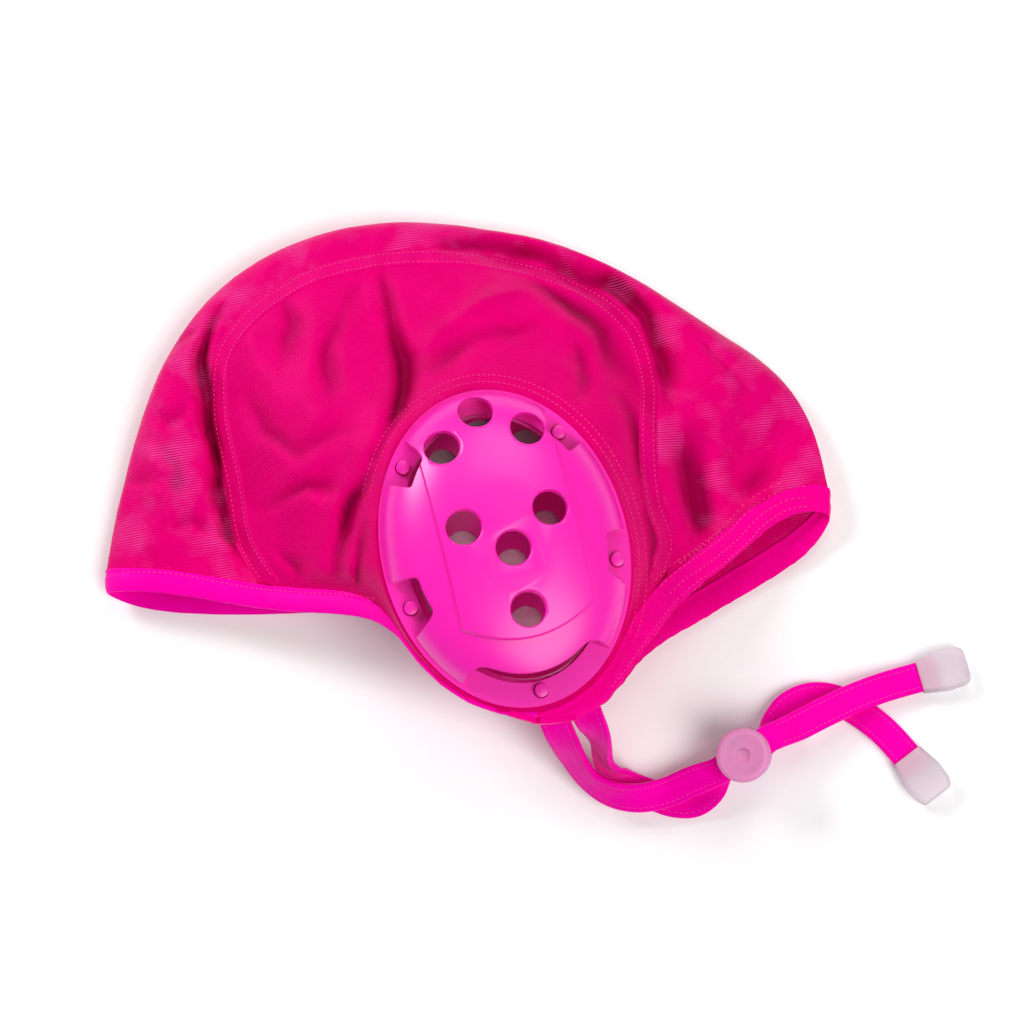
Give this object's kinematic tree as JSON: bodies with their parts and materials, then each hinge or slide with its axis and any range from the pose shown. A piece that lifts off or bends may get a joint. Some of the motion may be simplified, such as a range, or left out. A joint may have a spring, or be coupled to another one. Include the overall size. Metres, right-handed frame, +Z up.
{
  "type": "water polo cap",
  "caption": "Soft swim cap with domed ear guards, a bound front, an elastic nape casing and chin ties joined by a cord lock, lying on its side.",
  "frame": {"origin": "centre of the underside of the box round the cap without its ties, on the floor it lies on", "axes": "+X from the forehead to the nape, +Y towards the crown fold, +Z up through the upper ear guard"},
  "size_m": [0.2764, 0.1921, 0.0612],
  "materials": {
    "stretch_cloth": "satin",
    "edging": "satin",
    "tie_cloth": "satin",
    "guard_plastic": "semi-gloss",
    "frosted_plastic": "frosted"
  },
  "bodies": {
    "cap": {"crown_panel": "stretch_cloth", "side_panel_near": "stretch_cloth", "side_panel_far": "stretch_cloth", "forehead_binding": "edging", "nape_casing": "edging", "ear_cup_near": "guard_plastic", "ear_cup_far": "guard_plastic", "ear_ring_near": "guard_plastic", "ear_ring_far": "guard_plastic", "chin_tie_a": "tie_cloth", "chin_tie_b": "tie_cloth", "lock_body": "frosted_plastic", "tie_tip_a": "frosted_plastic", "tie_tip_b": "frosted_plastic"},
    "plunger": {"lock_plunger": "frosted_plastic"}
  },
  "joints": [
    {"name": "plunger_press", "type": "slide", "parent": "cap", "child": "plunger", "axis": [0.1312, 0.0852, -0.9877], "range_m": [0, 0.0025], "stiffness_N_per_m": 600, "springref_m": -0.004}
  ]
}
